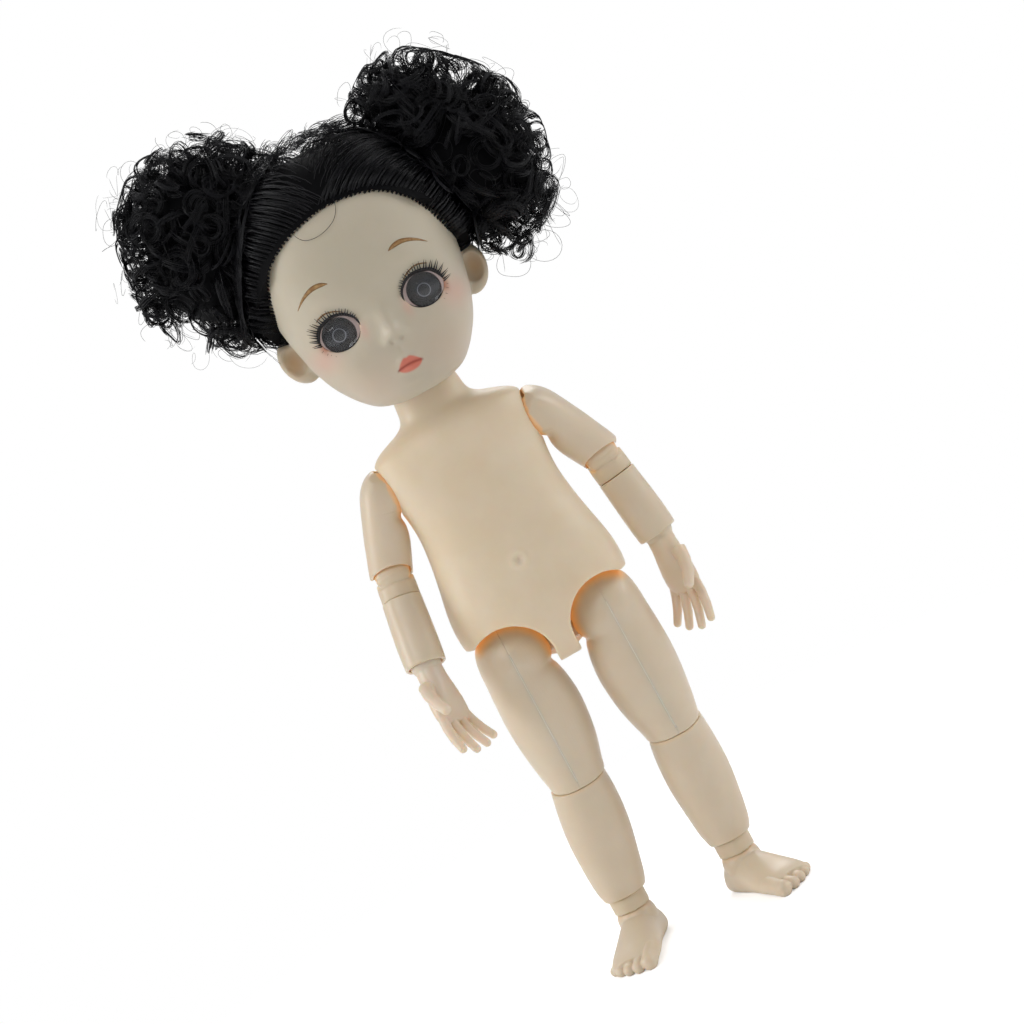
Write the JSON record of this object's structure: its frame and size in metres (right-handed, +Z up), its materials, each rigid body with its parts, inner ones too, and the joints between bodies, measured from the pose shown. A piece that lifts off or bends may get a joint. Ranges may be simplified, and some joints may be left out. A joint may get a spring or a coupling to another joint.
{
  "type": "ball jointed doll",
  "caption": "Small standing toy doll with ball joints at neck, shoulders, elbows, wrists, hips, knees and ankles, curly hair bunches and set eyes.",
  "frame": {"origin": "on the floor under the middle of the doll's bounding box", "axes": "+Z up from the soles to the crown, face towards -Y, the doll's left side towards +X"},
  "size_m": [0.0844, 0.044, 0.1744],
  "materials": {
    "head_vinyl": "satin",
    "body_vinyl": "satin",
    "limb_plastic": "satin",
    "joint_nylon": "satin",
    "eye_acrylic": "gloss",
    "lens_acrylic": "gloss",
    "lash_fibre": "matte",
    "hair_fibre": "satin",
    "tie_rubber": "matte"
  },
  "bodies": {
    "torso": {"torso": "body_vinyl"},
    "neck_stud": {"neck_stud": "joint_nylon"},
    "neck_socket": {"neck_socket": "joint_nylon"},
    "head": {"head_shell": "head_vinyl", "neck_plug": "head_vinyl", "combed_hair": "hair_fibre", "hair_puff_left": "hair_fibre", "hair_puff_right": "hair_fibre", "hair_tie_left": "tie_rubber", "hair_tie_right": "tie_rubber", "eye_left": "eye_acrylic", "eye_right": "eye_acrylic", "lens_left": "lens_acrylic", "lens_right": "lens_acrylic", "eyelashes_left": "lash_fibre", "eyelashes_right": "lash_fibre"},
    "shoulder_link_left": {"shoulder_link_left": "joint_nylon"},
    "upper_arm_left": {"upper_arm_left": "limb_plastic"},
    "elbow_link_left": {"elbow_link_left": "joint_nylon"},
    "forearm_left": {"forearm_left": "limb_plastic"},
    "wrist_link_left": {"wrist_link_left": "joint_nylon"},
    "hand_left": {"hand_left": "limb_plastic"},
    "shoulder_link_right": {"shoulder_link_right": "joint_nylon"},
    "upper_arm_right": {"upper_arm_right": "limb_plastic"},
    "elbow_link_right": {"elbow_link_right": "joint_nylon"},
    "forearm_right": {"forearm_right": "limb_plastic"},
    "wrist_link_right": {"wrist_link_right": "joint_nylon"},
    "hand_right": {"hand_right": "limb_plastic"},
    "hip_link_left": {"hip_link_left": "joint_nylon"},
    "thigh_left": {"thigh_outer_left": "limb_plastic", "thigh_inner_left": "limb_plastic"},
    "shin_left": {"knee_link_left": "joint_nylon", "shin_left": "limb_plastic"},
    "ankle_link_left": {"ankle_link_left": "joint_nylon"},
    "foot_left": {"foot_left": "limb_plastic"},
    "hip_link_right": {"hip_link_right": "joint_nylon"},
    "thigh_right": {"thigh_outer_right": "limb_plastic", "thigh_inner_right": "limb_plastic"},
    "shin_right": {"knee_link_right": "joint_nylon", "shin_right": "limb_plastic"},
    "ankle_link_right": {"ankle_link_right": "joint_nylon"},
    "foot_right": {"foot_right": "limb_plastic"}
  },
  "joints": [
    {"name": "neck_turn", "type": "hinge", "parent": "torso", "child": "neck_stud", "pos_m": [-0.00144, -0.00126, 0.1182], "axis": [0, 0, 1], "range_deg": [-75, 75]},
    {"name": "neck_nod", "type": "hinge", "parent": "neck_stud", "child": "neck_socket", "pos_m": [-0.00144, -0.00126, 0.1182], "axis": [1, 0, 0], "range_deg": [-12, 10]},
    {"name": "neck_tilt", "type": "hinge", "parent": "neck_socket", "child": "head", "pos_m": [-0.00144, -0.00126, 0.1182], "axis": [0, 1, 0], "range_deg": [-10, 10]},
    {"name": "shoulder_swing_left", "type": "hinge", "parent": "torso", "child": "shoulder_link_left", "pos_m": [0.01627, -0.00126, 0.09858], "axis": [-0.9999, 0, -0.0105], "range_deg": [-33, 145]},
    {"name": "arm_spread_left", "type": "hinge", "parent": "shoulder_link_left", "child": "upper_arm_left", "pos_m": [0.01627, -0.00126, 0.09858], "axis": [-0.0031, 0.9563, 0.2924], "range_deg": [-42, 3]},
    {"name": "elbow_bend_left", "type": "hinge", "parent": "upper_arm_left", "child": "elbow_link_left", "pos_m": [0.02158, 0.00101, 0.08573], "axis": [0.9896, -0.0392, 0.1385], "range_deg": [-60, 12]},
    {"name": "forearm_swivel_left", "type": "hinge", "parent": "elbow_link_left", "child": "forearm_left", "pos_m": [0.02236, 0.00232, 0.08051], "axis": [-0.1363, 0.0548, 0.9892], "range_deg": [-60, 60]},
    {"name": "wrist_swivel_left", "type": "hinge", "parent": "forearm_left", "child": "wrist_link_left", "pos_m": [0.0241, 0.00163, 0.06794], "axis": [0.0028, 0.0488, 0.9988], "range_deg": [-60, 60]},
    {"name": "wrist_bend_left", "type": "hinge", "parent": "wrist_link_left", "child": "hand_left", "pos_m": [0.0241, 0.00163, 0.06794], "axis": [0.6736, -0.7383, 0.0342], "range_deg": [-8, 17]},
    {"name": "shoulder_swing_right", "type": "hinge", "parent": "torso", "child": "shoulder_link_right", "pos_m": [-0.01873, -0.00126, 0.09821], "axis": [-0.9999, 0, -0.0105], "range_deg": [-48, 130]},
    {"name": "arm_spread_right", "type": "hinge", "parent": "shoulder_link_right", "child": "upper_arm_right", "pos_m": [-0.01873, -0.00126, 0.09821], "axis": [0.0004, -0.9994, -0.0349], "range_deg": [-45, 3]},
    {"name": "elbow_bend_right", "type": "hinge", "parent": "upper_arm_right", "child": "elbow_link_right", "pos_m": [-0.02298, -0.0024, 0.08483], "axis": [0.991, 0.005, -0.1339], "range_deg": [-56, 16]},
    {"name": "forearm_swivel_right", "type": "hinge", "parent": "elbow_link_right", "child": "forearm_right", "pos_m": [-0.02371, -0.00286, 0.07946], "axis": [0.1223, 0.3749, 0.919], "range_deg": [-60, 60]},
    {"name": "wrist_swivel_right", "type": "hinge", "parent": "forearm_right", "child": "wrist_link_right", "pos_m": [-0.02526, -0.00762, 0.06779], "axis": [-0.0168, 0.3706, 0.9286], "range_deg": [-60, 60]},
    {"name": "wrist_bend_right", "type": "hinge", "parent": "wrist_link_right", "child": "hand_right", "pos_m": [-0.02526, -0.00762, 0.06779], "axis": [0.6672, 0.6959, -0.2656], "range_deg": [-17, 17]},
    {"name": "hip_swing_left", "type": "hinge", "parent": "torso", "child": "hip_link_left", "pos_m": [0.00938, -0.00126, 0.05951], "axis": [-0.9999, 0, -0.0105], "range_deg": [-25, 84]},
    {"name": "hip_spread_left", "type": "hinge", "parent": "hip_link_left", "child": "thigh_left", "pos_m": [0.00938, -0.00126, 0.05951], "axis": [0, 1, 0], "range_deg": [-12, 0]},
    {"name": "knee_bend_left", "type": "hinge", "parent": "thigh_left", "child": "shin_left", "pos_m": [0.00971, 0.00024, 0.03581], "axis": [0.9999, 0, 0.014], "range_deg": [0, 85]},
    {"name": "ankle_swivel_left", "type": "hinge", "parent": "shin_left", "child": "ankle_link_left", "pos_m": [0.00901, -0.00126, 0.0054], "axis": [0, 0, 1], "range_deg": [-30, 30]},
    {"name": "ankle_pitch_left", "type": "hinge", "parent": "ankle_link_left", "child": "foot_left", "pos_m": [0.00901, -0.00126, 0.0054], "axis": [0.8988, 0.4384, 0], "range_deg": [-15, 20]},
    {"name": "hip_swing_right", "type": "hinge", "parent": "torso", "child": "hip_link_right", "pos_m": [-0.01102, -0.00126, 0.05929], "axis": [-0.9999, 0, -0.0105], "range_deg": [-25, 84]},
    {"name": "hip_spread_right", "type": "hinge", "parent": "hip_link_right", "child": "thigh_right", "pos_m": [-0.01102, -0.00126, 0.05929], "axis": [0, -1, 0], "range_deg": [-40, 0]},
    {"name": "knee_bend_right", "type": "hinge", "parent": "thigh_right", "child": "shin_right", "pos_m": [-0.0111, 0.00024, 0.03559], "axis": [1, 0, -0.0035], "range_deg": [0, 85]},
    {"name": "ankle_swivel_right", "type": "hinge", "parent": "shin_right", "child": "ankle_link_right", "pos_m": [-0.01337, -0.00126, 0.0054], "axis": [0, 0, 1], "range_deg": [-30, 30]},
    {"name": "ankle_pitch_right", "type": "hinge", "parent": "ankle_link_right", "child": "foot_right", "pos_m": [-0.01337, -0.00126, 0.0054], "axis": [0.9511, -0.309, 0], "range_deg": [-15, 20]}
  ]
}
